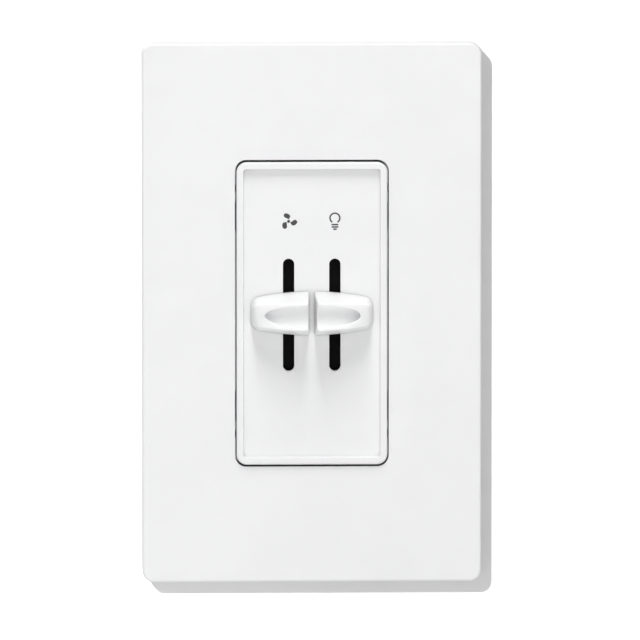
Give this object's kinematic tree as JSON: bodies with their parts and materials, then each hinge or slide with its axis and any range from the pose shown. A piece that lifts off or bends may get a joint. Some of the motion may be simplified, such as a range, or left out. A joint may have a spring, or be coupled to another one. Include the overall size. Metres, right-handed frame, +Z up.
{
  "type": "dimmer slide switch",
  "caption": "Wall control with a fan-speed slider and a light dimmer slider side by side in a rectangular insert, with a screwless clip-on wallplate and a rear housing.",
  "frame": {"origin": "in the wall plane, midway between the two screws that hold the device to the wall box", "axes": "+X to the right as seen from the room, +Y into the wall, +Z up"},
  "size_m": [0.0746, 0.0466, 0.119],
  "materials": {
    "cover_white": "satin",
    "bezel_white": "semi-gloss",
    "knob_white": "gloss",
    "adapter_grey": "satin",
    "yoke_aluminium": "satin",
    "plated_steel": "zinc plated",
    "ground_green": "satin",
    "brass": "satin",
    "copper_wire": "enamelled",
    "fibre": "matte",
    "housing_grey": "matte",
    "shutter_black": "matte",
    "board_green": "semi-gloss",
    "phenolic": "satin",
    "carbon_film": "matte",
    "epoxy_black": "matte",
    "core_yellow": "satin",
    "capacitor_yellow": "semi-gloss",
    "capacitor_grey": "matte",
    "capacitor_red": "gloss",
    "resistor_beige": "satin",
    "diac_blue": "gloss",
    "trimmer_blue": "satin",
    "acetal": "satin",
    "thermal_pad": "matte",
    "tinned_wire": "bright"
  },
  "bodies": {
    "device": {"wallplate_adapter": "adapter_grey", "adapter_screws": "plated_steel", "yoke": "yoke_aluminium", "mounting_screws": "plated_steel", "screw_retainers": "fibre", "ground_clamp": "brass", "ground_screw": "ground_green", "front_bezel": "bezel_white", "insulating_sheet": "fibre", "back_housing": "housing_grey", "housing_screws": "plated_steel", "terminal_straps": "brass", "terminal_clamps": "plated_steel", "terminal_screws": "brass", "circuit_board": "board_green", "choke_core": "core_yellow", "choke_winding": "copper_wire", "noise_capacitor": "capacitor_yellow", "fan_capacitors": "capacitor_grey", "firing_capacitor": "capacitor_red", "trim_pot": "trimmer_blue", "trim_pot_rotor": "acetal", "resistors": "resistor_beige", "diac": "diac_blue", "component_leads": "tinned_wire", "triac_insulator": "thermal_pad", "triac_tab": "tinned_wire", "light_triac": "epoxy_black", "triac_screw": "plated_steel", "light_resistor_track": "carbon_film", "fan_speed_contacts": "brass", "light_switch_contact": "brass", "light_switch_leaf": "brass", "fan_unit_frame": "plated_steel", "fan_unit_base": "phenolic", "light_unit_frame": "plated_steel", "light_unit_base": "phenolic"},
    "cover": {"wallplate_cover": "cover_white"},
    "fan_slider": {"fan_knob": "knob_white", "fan_shutter": "shutter_black", "fan_carriage": "acetal", "fan_wiper": "brass"},
    "light_slider": {"light_knob": "knob_white", "light_shutter": "shutter_black", "light_carriage": "acetal", "light_wiper": "brass"}
  },
  "joints": [
    {"name": "fan_slide", "type": "slide", "parent": "device", "child": "fan_slider", "axis": [0, 0, 1], "range_m": [-0.0105, 0.0097]},
    {"name": "light_slide", "type": "slide", "parent": "device", "child": "light_slider", "axis": [0, 0, 1], "range_m": [-0.0105, 0.0097]},
    {"name": "cover_pull_off", "type": "slide", "parent": "device", "child": "cover", "axis": [0, -1, 0], "range_m": [0, 0.02]}
  ]
}
